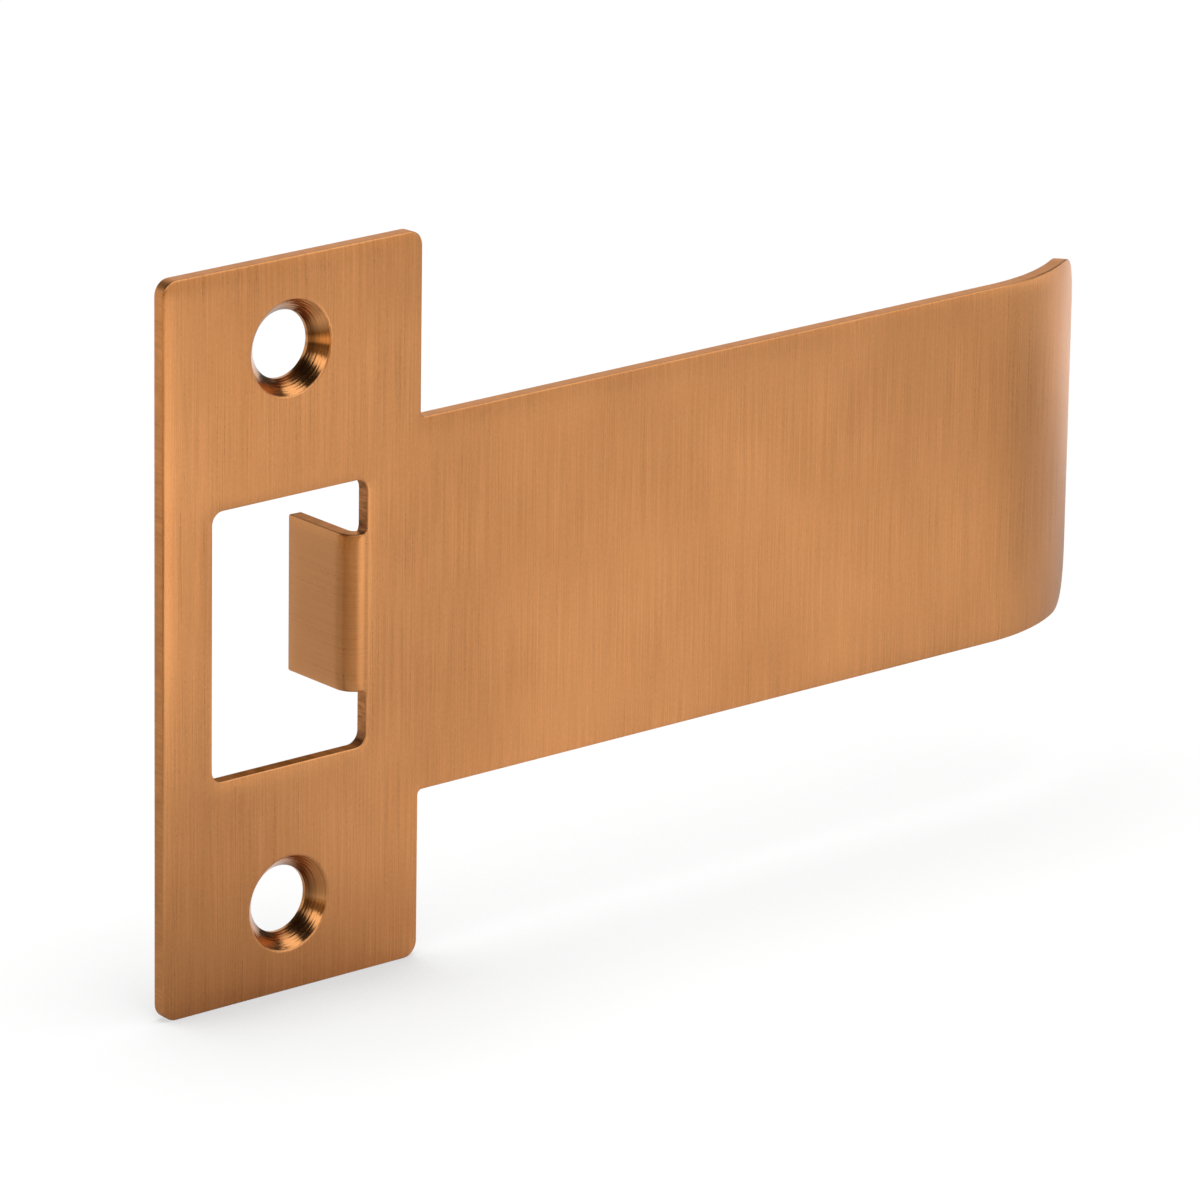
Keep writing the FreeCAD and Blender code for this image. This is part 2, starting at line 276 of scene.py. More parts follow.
def tab_lean(across):
    """How far the front sinks along the tab, from where its fold begins to where the lean has died out.

    A cubic that starts with the plate's own sink and slope there, and ends at nothing with no slope,
    never deeper than a cut edge sinks.
    """
    share = np.clip((WINDOW_RIGHT + ROLL_WIDTH - across) / TAB_LEAN, 0, 1)
    left = 1 - ROLL_WIDTH / PILLOW_REACH
    sink, slope = PILLOW_DEPTH * left ** 3, 3 * PILLOW_DEPTH / PILLOW_REACH * left ** 2
    lean = (1 - share) ** 2 * ((1 + 2 * share) * sink + share * TAB_LEAN * slope)
    return np.minimum(lean, PILLOW_DEPTH)


def ripple(across, up):
    """The front's slight unevenness: a mean depth and three slow waves, so that it only ever sinks.

    The first wave is a sine across times a cosine up, the second a sine that runs aslant, and the third
    a cosine that runs aslant the other way.
    """
    along = [across / length for length in RIPPLE_ACROSS]
    rise = [up / length for length in RIPPLE_UP]
    return (RIPPLE_LEVEL
            + RIPPLE_HEIGHTS[0] * np.sin(along[0] + RIPPLE_STARTS[0]) * np.cos(rise[0] + RIPPLE_STARTS[1])
            + RIPPLE_HEIGHTS[1] * np.sin(along[1] - rise[1] + RIPPLE_STARTS[2])
            + RIPPLE_HEIGHTS[2] * np.cos(along[2] + rise[2]))


class Sheet:
    """Gathers grids of points, their grain maps and their finishes, and welds them into one mesh."""

    def __init__(self):
        self.points, self.grain, self.faces, self.finish = [], [], [], []
        self.count = 0

    def add(self, points, grain, finish, flip=False):
        """One grid: faces run from a point to its neighbour in the row, then up to the next row."""
        rows, columns = points.shape[:2]
        index = np.arange(rows * columns).reshape(rows, columns) + self.count
        quads = np.stack([index[:-1, :-1], index[:-1, 1:], index[1:, 1:], index[1:, :-1]], -1).reshape(-1, 4)
        self.points.append(points.reshape(-1, 3))
        self.grain.append(np.broadcast_to(grain, (rows, columns, 2)).reshape(-1, 2))
        self.faces.append(quads[:, ::-1] if flip else quads)
        self.finish.append(np.full(len(quads), finish))
        self.count += rows * columns

    def mesh(self, name):
        """The welded mesh, in metres, with its grain map and a finish for each face."""
        points = np.concatenate(self.points) * MM
        faces = np.concatenate(self.faces)
        corners = faces.reshape(-1)
        made = bpy.data.meshes.new(name)
        made.vertices.add(len(points))
        made.vertices.foreach_set("co", points.reshape(-1))
        made.loops.add(len(corners))
        made.loops.foreach_set("vertex_index", corners)
        made.polygons.add(len(faces))
        made.polygons.foreach_set("loop_start", np.arange(0, len(corners), 4))
        made.polygons.foreach_set("material_index", np.concatenate(self.finish))
        made.polygons.foreach_set("use_smooth", np.ones(len(faces), bool))
        made.update(calc_edges=True)
        grain = made.uv_layers.new(name="grain")
        grain.data.foreach_set("uv", np.concatenate(self.grain)[corners].reshape(-1))
        welded = bmesh.new()
        welded.from_mesh(made)
        bmesh.ops.remove_doubles(welded, verts=welded.verts, dist=WELD)
        welded.to_mesh(made)
        welded.free()
        return made


plate = plate_outline()
window = window_outline()
sheet = Sheet()


def add_face(blank, on_tab, back):
    """One side of the sheet over a grid of blank points.

    The front sinks towards every cut edge and towards the tab's fold, and follows a slight ripple,
    which fades out at the edges, at the fold and round the screw seats. The back stays flat.
    """
    across, up = blank[..., 0], blank[..., 1]
    flat = blank.reshape(-1, 2)
    nearest = np.minimum(distance_to(plate, flat), distance_to(window, flat)).reshape(across.shape)
    nearest = np.maximum(nearest, ROLL_WIDTH)
    if on_tab:
        sink, wave = np.maximum(pillow(nearest), tab_lean(across)), 0.0
    else:
        beyond_tab = np.maximum(np.maximum(up - TAB_TOP, TAB_BOTTOM - up) - TAB_NOTCH, 0)
        from_fold = np.hypot(np.maximum(across - WINDOW_RIGHT, ROLL_WIDTH), beyond_tab)
        from_seat = np.hypot(across, np.abs(up) - SCREW_RISE) - SEAT_BLEND
        nearest = np.where(across > WINDOW_RIGHT, np.minimum(nearest, from_fold), nearest)
        calm = np.clip(np.minimum(nearest - ROLL_WIDTH, from_seat) / RIPPLE_FADE, 0, 1)
        sink, wave = pillow(nearest), ripple(across, up) * calm
    first, second = blank[0, 1] - blank[0, 0], blank[1, 0] - blank[0, 0]
    facing = bool(first[0] * second[1] - first[1] * second[0] > 0)
    grain = blank[..., ::-1] if on_tab else blank
    if back:
        sheet.add(fold(across, up, np.full(across.shape, THICKNESS), on_tab), grain, BACK, flip=facing)
    else:
        finish = FOLDED if on_tab else FACE
        sheet.add(fold(across, up, sink + wave, on_tab), grain, finish, flip=not facing)


def ruled(first, last, rows):
    """A grid of straight lines from each point of one line to the matching point of another."""
    share = eased(rows)[:, None, None]
    return first * (1 - share) + last * share


def add_faces(first, last, rows, back_rows=None, on_tab=False):
    """The front and the back of the sheet between two matching lines."""
    add_face(ruled(first, last, rows), on_tab, back=False)
    add_face(ruled(first, last, back_rows or rows), on_tab, back=True)


def add_edges(outline, first, last, finish, on_tab=False):
    """The cut edge carried along an outline: a rolled front, a cut wall and a broken back edge.

    The roll is a quarter ellipse from the front face to the wall. The wall leans in a little towards
    the back, and its last stretch is rounded off to the back face.
    """
    indices = outline.span(first, last)
    points, outward = outline.points[indices], outline.outward[indices]
    steps = np.linalg.norm(np.diff(points, axis=0), axis=1)
    along = outline.begins[first] * MARKS_SHIFT + np.concatenate([[0], np.cumsum(steps)])

    def carry(inset, depth):
        """Every profile point at every outline point, as blank places and depths."""
        blank = points[None] - inset[:, None, None] * outward[None]
        return blank, np.broadcast_to(depth[:, None], blank.shape[:2])

    turn = np.linspace(math.pi / 2, 0, ROLL_POINTS)
    inset = ROLL_WIDTH * (1 - np.cos(turn))
    blank, depth = carry(inset, ROLL_DEPTH * (1 - np.sin(turn)))
    lean = tab_lean(blank[..., 0]) if on_tab else 0.0
    depth = depth + np.maximum(pillow(inset)[:, None], lean)
    grain = blank[..., ::-1] if on_tab else blank
    rolled = fold(blank[..., 0], blank[..., 1], depth, on_tab)
    sheet.add(rolled, grain, FOLDED if on_tab else FACE, flip=True)

    down = np.linspace(ROLL_DEPTH + PILLOW_DEPTH, THICKNESS - BACK_BREAK, WALL_POINTS)
    lean = CUT_TAPER * (down - down[0]) / (down[-1] - down[0])
    blank, depth = carry(lean, down)
    grain = np.stack(np.broadcast_arrays(along[None], depth), -1)
    sheet.add(fold(blank[..., 0], blank[..., 1], depth, on_tab), grain, finish, flip=True)

    turn = np.linspace(0, math.pi / 2, BREAK_POINTS)
    inset = np.append(CUT_TAPER + BACK_BREAK * (1 - np.cos(turn)), ROLL_WIDTH)
    depth = np.append(THICKNESS - BACK_BREAK * (1 - np.sin(turn)), THICKNESS)
    blank, depth = carry(inset, depth)
    grain = blank[..., ::-1] if on_tab else blank
    sheet.add(fold(blank[..., 0], blank[..., 1], depth, on_tab), grain, BACK, flip=True)


def arc(centre, radius, first, last, steps):
    """Points of a section's arc: the centre plus a radius that swings from first to last, in degrees."""
    angles = np.radians(np.linspace(first, last, steps + 1))
    return np.array(centre) + radius * np.stack([np.cos(angles), np.sin(angles)], 1)


def seat_sections():
    """The section of a screw seat as three stretches of radius and depth, from the front to the back.

    The first is the flat front and its round rim. The second is the cone, with a slight bulge and fine
    turning rings, and the bore. The third is the foot's flat ring and the outside of the pressed cone,
    down to the back. Each corner is a short arc.
    """
    slope = math.radians(SEAT_SLOPE)
    half = math.tan((math.pi / 2 - slope) / 2)
    steep = 180 + SEAT_SLOPE
    rim = arc((SEAT_RADIUS + SEAT_RIM * half, SEAT_RIM), SEAT_RIM, 270, steep, RIM_STEPS)
    flat = np.linspace(SEAT_BLEND, rim[0, 0], FLAT_POINTS)[:-1]
    front = np.concatenate([np.stack([flat, np.zeros(len(flat))], 1), rim])

    bore_depth = (SEAT_RADIUS - HOLE_RADIUS) / math.tan(slope)
    turn = SEAT_NOSE * math.tan(slope / 2)
    nose = arc((HOLE_RADIUS + SEAT_NOSE, bore_depth + turn), SEAT_NOSE, steep, 180, NOSE_STEPS)
    share = np.linspace(0, 1, CONE_POINTS)[1:-1]
    rings = sum(height * np.sin(share * rate + start) for height, rate, start in TURNING_WAVES)
    bulge = 4 * SEAT_BULGE * share * (1 - share)
    lift = TURNING_DEPTH * rings * np.sin(math.pi * share) ** TURNING_FADE - bulge
    cone = rim[-1] + share[:, None] * (nose[0] - rim[-1])
    cone = cone + lift[:, None] * np.array([math.cos(slope), math.sin(slope)])
    foot = THICKNESS + SEAT_STAND
    low = arc((HOLE_RADIUS + SEAT_BREAK, foot - SEAT_BREAK), SEAT_BREAK, 180, 90, NOSE_STEPS)
    inside = np.concatenate([rim[-1:], cone, nose, low])

    base = SEAT_RADIUS - THICKNESS * math.tan(slope) + SEAT_WALL / math.cos(slope)
    top = base - SEAT_STAND * math.tan(slope)
    outer = arc((top - SEAT_BREAK, foot - SEAT_BREAK), SEAT_BREAK, 90, SEAT_SLOPE, FOOT_STEPS)
    root = np.array([[base, THICKNESS], [(base + SEAT_BLEND) / 2, THICKNESS], [SEAT_BLEND, THICKNESS]])
    behind = np.concatenate([low[-1:], outer, root])
    return front, inside, behind


def add_seat(rise, boundary):
    """A screw seat and the faces round it: spokes from the seat to a boundary, and the section spun."""
    centre = np.array([0.0, rise])
    spokes = boundary - centre
    spokes = spokes / np.linalg.norm(spokes, axis=1)[:, None]
    add_faces(centre + SEAT_BLEND * spokes, boundary, SEAT_BLOCK_ROWS, BACK_ROWS)
    swing = np.unwrap(np.arctan2(spokes[:, 1], spokes[:, 0]))
    for section, finish in zip(seat_sections(), (FACE, SEAT, BACK)):
        blank = centre + section[:, None, :1] * spokes[None]
        depth = np.broadcast_to(section[:, 1, None], blank.shape[:2])
        length = np.concatenate([[0], np.cumsum(np.linalg.norm(np.diff(section, axis=0), axis=1))])
        turned = np.stack(np.broadcast_arrays(length[:, None], SEAT_RADIUS * swing[None]), -1)
        grain = turned if finish == SEAT else blank
        sheet.add(fold(blank[..., 0], blank[..., 1], depth, False), grain, finish)


def build_sheet():
    """All the surfaces of the sheet, block by block."""
    left_side = plate.ring("left_middle", "left_foot")
    right_high = plate.ring("right_head", "upper_right")[0]
    right_low = plate.ring("below_root", "lower_root")[0]
    left_high, left_low = left_side[0], left_side[-1]
    share = np.linspace(0, 1, CUT_STEPS + 1)[:, None]
    upper = right_high + share * (left_high - right_high)
    lower = left_low + share * (right_low - left_low)

    # the plate's ends, round the screw seats
    add_seat(SCREW_RISE, np.concatenate([plate.ring("right_head", "left_middle"), upper[::-1][1:]]))
    add_seat(-SCREW_RISE, np.concatenate([plate.ring("left_foot", "below_root"), lower[::-1][1:]]))

    # the lip, from its root to its rounded end
    lip_high = plate.ring("lip_upper_corner", "upper_root")[::-1]
    lip_low = plate.ring("lip_foot", "lip_end")
    add_faces(lip_low, lip_high, LIP_ROWS)

    # the tab, from its root to its end
    tab_high = window.ring("upper_notch", "tab_end")
    tab_low = window.ring("tab_lower_corner", "below_tab")[::-1]
    add_faces(tab_low, tab_high, TAB_ROWS, on_tab=True)

    # the middle of the plate, between the window and what lies round it
    lip_root = ruled(lip_low[:1], lip_high[:1], LIP_ROWS)[:, 0]
    lip_side = np.concatenate([plate.ring("below_root", "lip_foot")[:-1], lip_root,
                               plate.ring("upper_root", "right_head")[1:]])
    tab_root = ruled(tab_low[:1], tab_high[:1], TAB_ROWS)[:, 0]
    tab_side = np.concatenate([window.ring("below_tab", "right_to_foot")[::-1][:-1], tab_root,
                               window.ring("head_to_right", "upper_notch")[::-1][1:]])
    for inner, outer in ((window.ring("right_to_foot", "foot_to_left")[::-1], lower),
                         (tab_side, lip_side),
                         (window.ring("left_to_head", "head_to_right")[::-1], upper),
                         (window.ring("foot_to_left", "left_to_head")[::-1], left_side)):
        add_faces(inner, outer, BLOCK_ROWS, BACK_ROWS)

    # the cut edges all round
    add_edges(plate, "left_foot", "left_foot", EDGE)
    add_edges(window, "below_tab", "lower_right", PIERCED)
    # the window's lower wall and corner and the tab's top take the sheared finish, whose dark colours are
    # partly painted shade
    add_edges(window, "lower_right", "foot_to_left", SHEARED)
    add_edges(window, "foot_to_left", "upper_notch", PIERCED)
    add_edges(window, "upper_notch", "tab_head", SHEARED, on_tab=True)
    add_edges(window, "tab_head", "below_tab", PIERCED, on_tab=True)
    return sheet.mesh("strike_sheet")


# the finishes
#
# Streaks are given by their changes to the millimetre across and along the grain, their detail and an
# offset. The noise mostly lies in its middle part, which is spread to the full range.
NOISE_LOW, NOISE_HIGH = 0.3, 0.7
NOISE_ROUGHNESS = 0.6
FINE_STREAKS, BROAD_STREAKS = (7.0, 0.07, 2.0, 0.0), (2.0, 0.04, 2.0, 7.3)
SPECKS, CLOUDS = (6.0, 3.0, 2.0, 1.7), (0.07, 0.05, 2.0, 3.1)
CUT_MARKS, CUT_PATCHES = (4.0, 0.5, 4.0, 0.0), (0.6, 0.3, 2.0, 5.0)
TURNED_RINGS = (7.0, 0.05, 3.0, 0.0)

# how much each has in the colour
FINE_SHARE, BROAD_SHARE, SPECK_SHARE = 0.58, 0.16, 0.26
STREAK_SHARE, CLOUD_SHARE = 0.7, 0.3
MARK_SHARE, PATCH_SHARE = 0.6, 0.4

# how rough each is: the brushed ones by how much smoother and rougher their streaks are
SMOOTHER, ROUGHER = 0.04, 0.05
STREAK_LOW, STREAK_HIGH = 0.2, 0.8
FRONT_ROUGHNESS, BACK_ROUGHNESS = 0.31, 0.40
CUT_ROUGHNESS = 0.32, 0.46
TURNED_ROUGHNESS = 0.14, 0.22

# each finish's relief in metres, the strength of it, and how far its gloss is stretched
BRUSHED_RELIEF, CUT_RELIEF, TURNED_RELIEF = (0.00002, 0.2, 0.35), (0.00003, 0.4, 0.4), (0.00002, 0.3, 0.6)

# painted shade on a seat's cone, by millimetres along its slope from the rim to the bore: darker down towards
# the bore
SEAT_PAINTED_SHADE = (0.6, 1.0), (1.7, 0.42), (1.95, 0.5), (2.1, 0.9)

# the darker and the lighter colour of each finish, and for a cut edge its tint in glancing light
FACE_COLOURS = (0.46, 0.195, 0.068, 1), (0.76, 0.350, 0.137, 1)
# the tab's colours are a darker, flatter copy of the face's: painted shade where the tab lies in shadow
TAB_SHADED_COLOURS = (0.49, 0.213, 0.077, 1), (0.656, 0.299, 0.115, 1)
BACK_COLOURS = (0.50, 0.220, 0.082, 1), (0.60, 0.270, 0.105, 1)
SEAT_COLOURS = (0.46, 0.202, 0.068, 1), (0.67, 0.302, 0.112, 1)
EDGE_COLOURS = (0.49, 0.205, 0.070, 1), (0.76, 0.333, 0.119, 1), (1, 0.86, 0.74, 1)
PIERCED_COLOURS = (0.12, 0.046, 0.016, 1), (0.70, 0.306, 0.122, 1), (0.92, 0.70, 0.54, 1)
# the sheared walls are near black: cut marks with painted shade down in the window's lower corner and along
# the tab's top
SHEARED_SHADED_COLOURS = (0.06, 0.024, 0.010, 1), (0.46, 0.200, 0.090, 1), (0.64, 0.46, 0.36, 1)

# the colour sockets of the node that mixes, among those for its other kinds of value
MIX_FIRST, MIX_SECOND, MIX_RESULT = 6, 7, 2


class Nodes:
    """The nodes of a material or of the surround, written down as calls."""

    def __init__(self, tree):
        self.tree = tree

    def put(self, socket, value):
        """Joins a socket to another node's output, or sets it to a plain value."""
        if isinstance(value, bpy.types.NodeSocket):
            self.tree.links.new(value, socket)
        else:
            socket.default_value = value

    def node(self, kind, inputs=(), **settings):
        """A node of a kind with its settings, its inputs joined or set by name or number."""
        made = self.tree.nodes.new(f"ShaderNode{kind}")
        for key, value in settings.items():
            setattr(made, key, value)
        for key, value in dict(inputs).items():
            self.put(made.inputs[key], value)
        return made

    def between(self, value, low, high, from_low=NOISE_LOW, from_high=NOISE_HIGH):
        """A value spread from one range to another."""
        made = self.node("MapRange", {"Value": value, "From Min": from_low, "From Max": from_high,
                                      "To Min": low, "To Max": high})
        return made.outputs[0]

    def sum(self, first, second, operation="ADD"):
        """Two values added, or put together by another operation."""
        return self.node("Math", {0: first, 1: second}, operation=operation).outputs[0]

    def times(self, first, second):
        """Two colours multiplied."""
        return self.node("VectorMath", {0: first, 1: second}, operation="MULTIPLY").outputs[0]

    def along(self, place, direction):
        """How far a place lies along a direction."""
        made = self.node("VectorMath", {0: place, 1: direction}, operation="DOT_PRODUCT")
        return made.outputs["Value"]

    def mix(self, share, first, second):
        """A colour between two others."""
        made = self.node("Mix", data_type="RGBA")
        self.put(made.inputs["Factor"], share)
        self.put(made.inputs[MIX_FIRST], first)
        self.put(made.inputs[MIX_SECOND], second)
        return made.outputs[MIX_RESULT]

    def either(self, share, first, second):
        """One shader or the other, by a share."""
        return self.node("MixShader", {0: share, 1: first, 2: second}).outputs[0]

    def graded(self, value, *stops):
        """A grey or a colour looked up between stops, each a place and what holds there."""
        low, high = stops[0][0], stops[-1][0]
        ramp = self.node("ValToRGB", {"Fac": self.between(value, 0.0, 1.0, low, high)})
        elements = ramp.color_ramp.elements
        for spare in range(len(stops) - len(elements)):
            elements.new(0.5)
        for element, (place, level) in zip(elements, stops):
            element.position = (place - low) / (high - low)
            element.color = (*np.broadcast_to(level, 3), 1)
        ramp.color_ramp.interpolation = "EASE"
        return ramp.outputs["Color"]


class Finish(Nodes):
    """A metal finish of the sheet."""

    def __init__(self, name):
        self.material = bpy.data.materials.new(name)
        self.material.use_nodes = True
        super().__init__(self.material.node_tree)
        self.shader = self.tree.nodes["Principled BSDF"]

    def grain(self):
        """The grain map: millimetres across the grain, and along it."""
        return self.node("UVMap", uv_map="grain").outputs["UV"]

    def streaks(self, across, along, detail, offset):
        """Noise drawn out along the grain, so many changes to the millimetre across and along it."""
        moved = self.node("Mapping", {"Vector": self.grain(), "Location": (offset, offset, offset),
                                      "Scale": (across, along, 1.0)})
        noise = self.node("TexNoise", {"Vector": moved.outputs[0], "Scale": 1.0, "Detail": detail,
                                       "Roughness": NOISE_ROUGHNESS})
        return noise.outputs["Fac"]

    def shade(self, colour, roughness, relief, depth, strength, anisotropy):
        """Sets the shader: bare metal whose gloss stretches across the grain, with relief from the grain."""
        tangent = self.node("Tangent", direction_type="UV_MAP", uv_map="grain")
        bump = self.node("Bump", {"Height": relief, "Strength": strength, "Distance": depth})
        self.put(self.shader.inputs["Base Color"], colour)
        self.put(self.shader.inputs["Metallic"], 1.0)
        self.put(self.shader.inputs["Roughness"], roughness)
        self.put(self.shader.inputs["Anisotropic"], anisotropy)
        self.put(self.shader.inputs["Tangent"], tangent.outputs[0])
        self.put(self.shader.inputs["Normal"], bump.outputs[0])
        return self.material


def brushed_finish(name, dark, light, rough):
    """Satin brushing: fine and broad streaks along the grain, a little speck, over slow clouds of colour."""
    made = Finish(name)
    fine, broad = made.streaks(*FINE_STREAKS), made.streaks(*BROAD_STREAKS)
    speck, cloud = made.streaks(*SPECKS), made.streaks(*CLOUDS)
    streak = made.sum(made.sum(made.between(fine, 0.0, FINE_SHARE), made.between(broad, 0.0, BROAD_SHARE)),
                      made.between(speck, 0.0, SPECK_SHARE))
    share = made.sum(made.sum(streak, STREAK_SHARE, "MULTIPLY"), made.between(cloud, 0.0, CLOUD_SHARE))
    colour = made.mix(share, dark, light)
    roughness = made.between(streak, rough - SMOOTHER, rough + ROUGHER, STREAK_LOW, STREAK_HIGH)
    return made.shade(colour, roughness, streak, *BRUSHED_RELIEF)


def cut_finish(name, dark, light, glance):
    """A cut edge: short marks through the thickness over slow patches, with a tint for glancing light."""
    made = Finish(name)
    marks, patches = made.streaks(*CUT_MARKS), made.streaks(*CUT_PATCHES)
    share = made.sum(made.between(marks, 0.0, MARK_SHARE), made.between(patches, 0.0, PATCH_SHARE))
    colour = made.mix(share, dark, light)
    roughness = made.between(marks, *CUT_ROUGHNESS)
    made.put(made.shader.inputs["Specular Tint"], glance)
    return made.shade(colour, roughness, marks, *CUT_RELIEF)


def turned_finish(name, dark, light):
    """A turned seat: rings round the hole, a little uneven along their way, with painted shade darkening it
    towards the bore.
    """
    made = Finish(name)
    rings = made.streaks(*TURNED_RINGS)
    inward = made.node("SeparateXYZ", {0: made.grain()}).outputs["X"]
    bright = made.mix(made.between(rings, 0.0, 1.0), dark, light)
    # painted shade: the ring colour is darkened down the slope towards the bore
    colour = made.times(bright, made.graded(inward, *SEAT_PAINTED_SHADE))
    roughness = made.between(rings, *TURNED_ROUGHNESS)
    return made.shade(colour, roughness, rings, *TURNED_RELIEF)


strike = bpy.data.objects.new("strike_sheet", build_sheet())
bpy.context.scene.collection.objects.link(strike)
# in the order of the finishes' numbers
for finish in (brushed_finish("brushed_bronze_face", *FACE_COLOURS, FRONT_ROUGHNESS),
               cut_finish("cut_bronze_edge", *EDGE_COLOURS),
               cut_finish("pierced_bronze_edge", *PIERCED_COLOURS),
               turned_finish("turned_bronze_seat", *SEAT_COLOURS),
               brushed_finish("brushed_bronze_back", *BACK_COLOURS, BACK_ROUGHNESS),
               cut_finish("sheared_bronze_edge_painted_shade", *SHEARED_SHADED_COLOURS),
               brushed_finish("brushed_bronze_tab_painted_shade", *TAB_SHADED_COLOURS, FRONT_ROUGHNESS)):
    strike.data.materials.append(finish)
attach(strike, "root")
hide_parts("strike_plate")

# the studio: a pale floor, a bright surround low round the horizon, and soft lamps
FLOOR_SIZE = 6.0
TO_THE_RIGHT = (0.766, -0.643, 0.0)
TO_THE_FRONT = (-0.762, -0.648, 0.0)

# the pool of light on the floor that the metal reflects: its levels by metres to the right and to the front
POOL_SIDES = ((-0.21, 1.05), (-0.165, 0.8), (-0.125, 0.42), (-0.085, 0.72), (-0.04, 0.72),
              (0.03, 0.90), (0.10, 0.82), (0.127, 0.95), (0.15, 0.97), (0.20, 0.88), (0.24, 0.79),
              (0.5, 1.1), (1.0, 1.8), (1.5, 2.1))
POOL_DEPTH = ((-0.22, 1.8), (-0.15, 1.02), (-0.10, 1.0), (-0.065, 1.25), (-0.04, 1.6),
              (-0.018, 1.56), (0.004, 1.03), (0.018, 0.94), (0.037, 1.28), (0.05, 1.28), (0.07, 0.95),
              (0.11, (0.5, 0.39, 0.24)), (0.15, (1.2, 0.93, 0.57)), (0.19, (2.0, 1.55, 0.95)),
              (0.34, (2.0, 1.55, 0.95)), (0.50, (0.34, 0.25, 0.15)))
POOL_TONE, POOL_GLOW = (0.74, 0.74, 0.74), 0.08

# the floor as it is seen: its own white, with a painted shadow that dims it close to the metal, and the share
# that the lamps light
PLAIN_FLOOR, SEEN_FLOOR = (0.8, 0.8, 0.8, 1), (0.13, 0.13, 0.13, 1)
SEEN_GLOW = 0.895
PAINTED_SHADOW_REACH, PAINTED_SHADOW_SAMPLES = 0.028, 8
PAINTED_SHADOW_LEVELS = (0.5, 0.70), (0.8, 0.91), (1.0, 1.0)

# the surround: its levels by height, to the sides and behind, where it is taller; what lies behind;
# how it dims far along the lip; and how it dims to a warm room in front
SIDE_HEIGHT, BEHIND_HEIGHT = ((0.33, 1.0), (0.47, 0.05)), ((0.60, 1.0), (0.80, 0.05))
BEHIND = (-0.80, 1.0), (-0.50, 0.0)
PAST_THE_LIP = (0.80, 1.0), (0.93, 0.12)
IN_FRONT = (0.15, 1.0), (0.50, (0.28, 0.21, 0.13))
EVEN_LIGHT, WHITE = (0.34, 0.34, 0.34, 1), (1, 1, 1, 1)


def floor_material():
    """A pale floor: white where it is seen, with a light shadow partly cast by the lamps and partly painted
    close to the metal, and a wide soft pool of light in gloss.
    """
    material = bpy.data.materials.new("pale_floor")
    material.use_nodes = True
    material.node_tree.nodes.clear()
    made = Nodes(material.node_tree)
    place = made.node("TexCoord").outputs["Object"]
    sides = made.graded(made.along(place, TO_THE_RIGHT), *POOL_SIDES)
    depth = made.graded(made.along(place, TO_THE_FRONT), *POOL_DEPTH)
    pool = made.times(sides, depth)

    def glowing(colour, own, strength):
        """The light that the floor throws back, with a glow of its own."""
        lit = made.node("BsdfDiffuse", {"Color": colour}).outputs[0]
        glow = made.node("Emission", {"Color": own, "Strength": strength}).outputs[0]
        return made.node("AddShader", {0: lit, 1: glow}).outputs[0]

    path = made.node("LightPath").outputs
    plain = made.node("BsdfDiffuse", {"Color": PLAIN_FLOOR}).outputs[0]
    gloss = made.either(path["Is Glossy Ray"], plain, glowing(made.times(pool, POOL_TONE), pool, POOL_GLOW))
    # painted shadow: the floor's own glow is dimmed where the metal lies close
    near = made.node("AmbientOcclusion", {"Distance": PAINTED_SHADOW_REACH}, samples=PAINTED_SHADOW_SAMPLES).outputs["AO"]
    white = glowing(SEEN_FLOOR, made.graded(near, *PAINTED_SHADOW_LEVELS), SEEN_GLOW)
    seen = made.sum(path["Is Camera Ray"], path["Is Transmission Ray"], "MAXIMUM")
    made.node("OutputMaterial", {0: made.either(seen, gloss, white)})
    return material


def add_floor():
    """A flat square under the plate's lower end."""
    half = FLOOR_SIZE / 2
    level = PLATE_BOTTOM * MM
    made = bpy.data.meshes.new("floor")
    made.from_pydata([(-half, -half, level), (half, -half, level), (half, half, level), (-half, half, level)],
                     [], [(0, 1, 2, 3)])
    made.materials.append(floor_material())
    floor = bpy.data.objects.new("floor", made)
    bpy.context.scene.collection.objects.link(floor)


def light_world():
    """A white surround low round the horizon and taller behind, dim overhead, in front and past the lip.

    The floor gets an even light instead.
    """
    world = bpy.data.worlds.new("studio")
    bpy.context.scene.world = world
    world.use_nodes = True
    world.node_tree.nodes.clear()
    made = Nodes(world.node_tree)
    way = made.node("TexCoord").outputs["Generated"]
    axes = made.node("SeparateXYZ", {0: way}).outputs
    front = made.along(way, TO_THE_FRONT)
    low, tall = made.graded(axes["Z"], *SIDE_HEIGHT), made.graded(axes["Z"], *BEHIND_HEIGHT)
    walls = made.mix(made.graded(front, *BEHIND), low, tall)
    walls = made.times(walls, made.graded(axes["X"], *PAST_THE_LIP))
    level = made.times(walls, made.graded(front, *IN_FRONT))
    path = made.node("LightPath").outputs
    even = made.node("Background", {"Color": EVEN_LIGHT}).outputs[0]
    surround = made.node("Background", {"Color": level}).outputs[0]
    gloss = made.either(path["Is Glossy Ray"], even, surround)
    white = made.node("Background", {"Color": WHITE}).outputs[0]
    seen = made.sum(path["Is Camera Ray"], path["Is Transmission Ray"], "MAXIMUM")
    made.node("OutputWorld", {0: made.either(seen, gloss, white)})


def placed(name, data, axes, place):
    """A new object in the scene, its own axes turned to three directions, at a place in metres."""
    made = bpy.data.objects.new(name, data)
    bpy.context.scene.collection.objects.link(made)
    made.matrix_world = Matrix([(*row, spot) for row, spot in zip(np.stack(axes, 1), place)] + [(0, 0, 0, 1)])
    return made


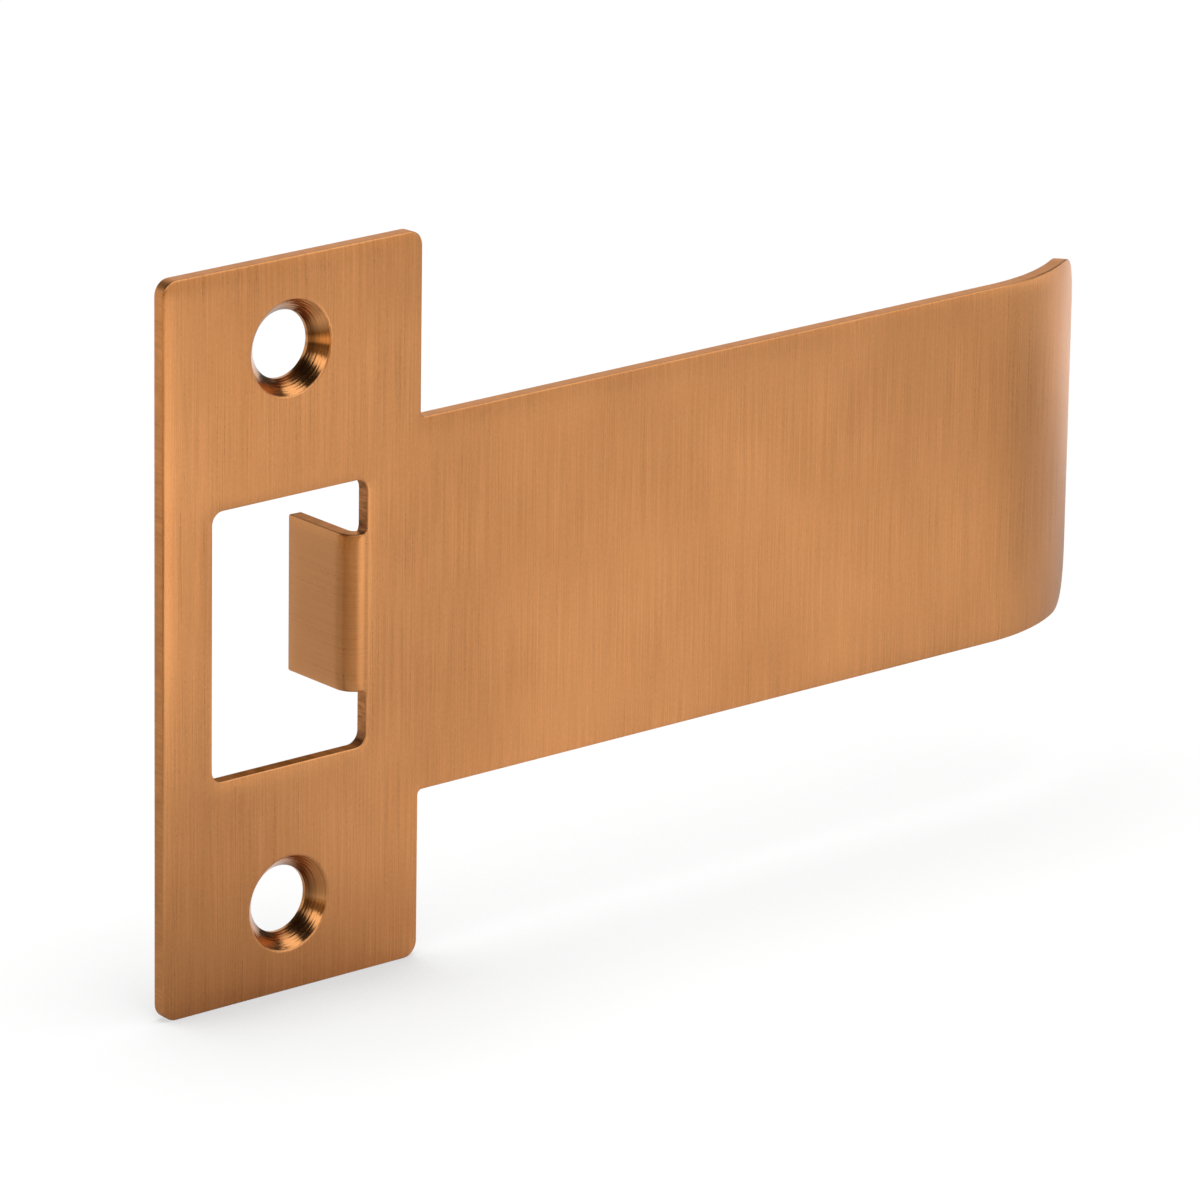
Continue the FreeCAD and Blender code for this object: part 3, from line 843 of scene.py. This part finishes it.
def add_softbox(name, place, aim, width, height, brightness, on_floor=True, on_metal=True):
    """A soft lamp at a place that looks at another, its watts worked out from its brightness."""
    toward = np.subtract(place, aim)
    toward = toward / np.linalg.norm(toward)
    side = np.cross([0.0, 0.0, 1.0], toward)
    side = side / np.linalg.norm(side)
    lamp = bpy.data.lights.new(name, "AREA")
    lamp.shape = "RECTANGLE"
    lamp.size, lamp.size_y = width, height
    lamp.energy = math.pi * width * height * brightness
    made = placed(name, lamp, [side, np.cross(toward, side), toward], place)
    made.visible_camera = False
    made.visible_diffuse, made.visible_glossy = on_floor, on_metal


# the lamps: where each stands and looks, its width and height in metres, its brightness, and whether
# it lights the floor or shows in the metal
AIM = (0.03, 0.0, 0.0)
LAMPS = (("front_softbox", (0.49, -0.73, 0.52), AIM, 1.0, 0.5, 1.3, False, True),
         ("left_softbox", (-0.36, -0.74, 0.41), AIM, 1.0, 0.3, 1.8, False, True),
         ("right_softbox", (0.47, -0.36, 0.87), AIM, 0.9, 0.34, 1.8, False, True),
         ("top_softbox", (0.02, 0.12, 1.1), AIM, 0.8, 0.8, 4.4, True, False),
         ("floor_panel", (0.0195, -0.099, -0.034), (0.01405, -0.09061, 0.066), 0.05, 0.2, 1.45, False, True))

# the camera, as fitted to the photograph's edges: where it stands in millimetres, its right and forward
# directions, and its lens
CAMERA_PLACE = (-480.745, -611.730, 254.891)
CAMERA_RIGHT = (0.765647, -0.643092, 0.014725)
CAMERA_FORWARD = (0.615275, 0.725467, -0.308437)
CAMERA_LENS, CAMERA_SENSOR = 270.236, 36.0


def add_camera():
    """A long lens that looks down on the plate from its left front."""
    lens = bpy.data.cameras.new("camera")
    lens.lens, lens.sensor_width = CAMERA_LENS, CAMERA_SENSOR
    right, forward = np.array(CAMERA_RIGHT), np.array(CAMERA_FORWARD)
    axes = [right, np.cross(right, forward), -forward]
    bpy.context.scene.camera = placed("camera", lens, axes, [spot * MM for spot in CAMERA_PLACE])


add_floor()
light_world()
for lamp in LAMPS:
    add_softbox(*lamp)
add_camera()
bpy.context.scene.view_settings.view_transform = "Standard"
